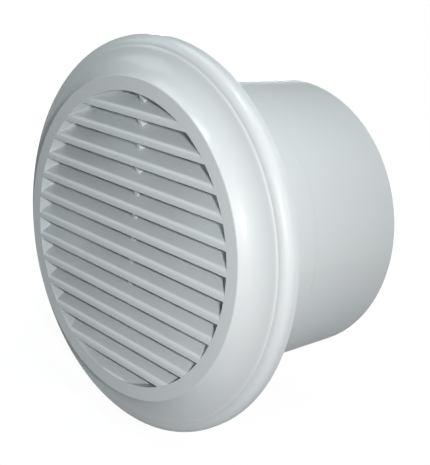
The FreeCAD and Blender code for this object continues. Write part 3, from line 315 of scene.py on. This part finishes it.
MOULDED = finish_group("moulded_skin", EVEN_GRAIN)
DRAWN = finish_group("drawn_metal", GRAIN_ALONG_SHAFT)
TURNED = finish_group("turned_metal", GRAIN_ACROSS_SHAFT)
BANDS = band_group()


def rgba(colour):
    return (*colour, 1.0)


def darker(colour, share):
    return tuple(c * share for c in colour)


def new_surface(name, group):
    """A new material: itself, its node tree, its shader and a node of a shared group."""
    surface = bpy.data.materials.new(name)
    surface.use_nodes = True
    tree = surface.node_tree
    effect = tree.nodes.new("ShaderNodeGroup")
    effect.node_tree = group
    return surface, tree, tree.nodes["Principled BSDF"], effect


def bump(tree, shader, height, strength, depth):
    """Fine relief from a height."""
    node = tree.nodes.new("ShaderNodeBump")
    node.inputs["Strength"].default_value = strength
    node.inputs["Distance"].default_value = depth
    tree.links.new(height, node.inputs["Height"])
    tree.links.new(node.outputs["Normal"], shader.inputs["Normal"])


def finish(name, group, colour, share, roughness, spread, grain, relief, metallic=0.0, coat=0.0):
    """A plastic or metal finish from one of the shared groups."""
    surface, tree, shader, effect = new_surface(name, group)
    effect.inputs["Colour"].default_value = rgba(colour)
    effect.inputs["Second Colour"].default_value = rgba(darker(colour, share))
    effect.inputs["Roughness"].default_value = roughness
    effect.inputs["Spread"].default_value = spread
    effect.inputs["Grain Scale"].default_value = grain
    shader.inputs["Metallic"].default_value = metallic
    shader.inputs["Coat Weight"].default_value = coat
    shader.inputs["Coat Roughness"].default_value = COAT_ROUGHNESS
    tree.links.new(effect.outputs["Colour"], shader.inputs["Base Color"])
    tree.links.new(effect.outputs["Roughness"], shader.inputs["Roughness"])
    bump(tree, shader, effect.outputs["Height"], relief, GRAIN_DEPTH)
    return surface


def plastic(name, colour, roughness, spread=0.10, grain=2600.0, relief=0.10, share=0.97, coat=0.0):
    """Moulded plastic, rubber or felt."""
    return finish(name, MOULDED, colour, share, roughness, spread, grain, relief, coat=coat)


def metal(name, group, colour, roughness, relief=0.25):
    """Bare or plated metal."""
    return finish(name, group, colour, METAL_SECOND_SHARE, roughness, METAL_SPREAD, METAL_GRAIN, relief,
                  metallic=1.0)


def banded(name, position_of, pitch, colour, joint_and_shade, roughness, metallic):
    """Bands of a pitch, at the position that position_of gives."""
    surface, tree, shader, effect = new_surface(name, BANDS)
    place = tree.nodes.new("ShaderNodeTexCoord").outputs["Object"]
    effect.inputs["Pitch"].default_value = pitch
    effect.inputs["Colour"].default_value = rgba(colour)
    # The darker groove colour is painted shade in the grooves, on top of the dark joints between stacked
    # sheets.
    effect.inputs["Joint And Shade Colour"].default_value = rgba(joint_and_shade)
    tree.links.new(position_of(tree, place), effect.inputs["Position"])
    shader.inputs["Roughness"].default_value = roughness
    shader.inputs["Metallic"].default_value = metallic
    tree.links.new(effect.outputs["Colour"], shader.inputs["Base Color"])
    bump(tree, shader, effect.outputs["Height"], BAND_RELIEF, pitch / BAND_PITCH_TO_DEPTH)
    return surface


def along_shaft(tree, place):
    """Position along the shaft, for stacked sheets."""
    parts = tree.nodes.new("ShaderNodeSeparateXYZ")
    tree.links.new(place, parts.inputs[0])
    return parts.outputs["Y"]


def out_from_shaft(tree, place):
    """Distance from the shaft's axis, for layers of wound wire."""
    return distance_from_origin(tree, stretched(tree, place, FLAT_TO_SHAFT))


# One finish for each material slot of the record
FAN_WHITE = (0.70, 0.755, 0.77)
PLASTICS = {
    "panel_plastic": dict(colour=FAN_WHITE, roughness=0.50, relief=0.06, coat=0.5),
    "white_plastic": dict(colour=FAN_WHITE, roughness=0.46),
    "carrier_plastic": dict(colour=(0.66, 0.68, 0.68), roughness=0.50, relief=0.2),
    "impeller_plastic": dict(colour=(0.56, 0.59, 0.60), roughness=0.45, relief=0.15),
    "grommet_rubber": dict(colour=(0.025, 0.025, 0.027), roughness=0.62, relief=0.3, share=0.8),
    "terminal_plastic": dict(colour=(0.58, 0.55, 0.48), roughness=0.5, relief=0.2),
    "brown_insulation": dict(colour=(0.10, 0.035, 0.012), roughness=0.4, share=0.85),
    "blue_insulation": dict(colour=(0.012, 0.07, 0.30), roughness=0.4, share=0.85),
    "bobbin_plastic": dict(colour=(0.52, 0.48, 0.38), roughness=0.5, relief=0.2),
    "fuse_case": dict(colour=(0.55, 0.50, 0.42), roughness=0.55, relief=0.2),
    "oil_felt": dict(colour=(0.20, 0.17, 0.12), roughness=0.9, grain=900.0, relief=0.9, share=0.7),
    "washer_nylon": dict(colour=(0.62, 0.60, 0.54), roughness=0.4),
}
METALS = {
    "terminal_brass": dict(group=TURNED, colour=(0.66, 0.46, 0.18), roughness=0.32),
    "screw_steel": dict(group=TURNED, colour=(0.62, 0.62, 0.58), roughness=0.34),
    "plated_steel": dict(group=TURNED, colour=(0.52, 0.52, 0.52), roughness=0.38),
    "shaft_steel": dict(group=TURNED, colour=(0.60, 0.60, 0.61), roughness=0.22),
    "bare_copper": dict(group=DRAWN, colour=(0.72, 0.34, 0.20), roughness=0.34),
    "bracket_zinc": dict(group=MOULDED, colour=(0.50, 0.50, 0.50), roughness=0.52, relief=0.5),
    "bush_bronze": dict(group=MOULDED, colour=(0.42, 0.26, 0.12), roughness=0.5, relief=0.6),
    "cage_aluminium": dict(group=TURNED, colour=(0.62, 0.62, 0.63), roughness=0.42, relief=0.4),
}
# The groove colours are painted shade between turns of wire, and dark joints with painted shade between
# stacked sheets.
STACKS_AND_WINDINGS = {
    "lamination_steel": dict(position_of=along_shaft, pitch=0.0005, colour=(0.30, 0.30, 0.32),
                             joint_and_shade=(0.10, 0.10, 0.11), roughness=0.45, metallic=1.0),
    "enamelled_copper": dict(position_of=out_from_shaft, pitch=0.0004, colour=(0.42, 0.13, 0.04),
                             joint_and_shade=(0.12, 0.03, 0.01), roughness=0.28, metallic=0.7),
}


def make_finishes():
    """All finishes by the name of their slot."""
    finishes = {}
    for maker, table in ((plastic, PLASTICS), (metal, METALS), (banded, STACKS_AND_WINDINGS)):
        for slot, values in table.items():
            finishes[slot] = maker(slot, **values)
    return finishes


def dress_nodes():
    """Each solid takes the finish of its own slot."""
    finishes = make_finishes()
    for part in frame["record"]["subparts"]:
        solid = frame["nodes"][part["node"]]
        solid.data.materials.clear()
        solid.data.materials.append(finishes[part["material_slot"]])


place_camera()
place_lamps()
make_sky()
make_floor()
dress_nodes()
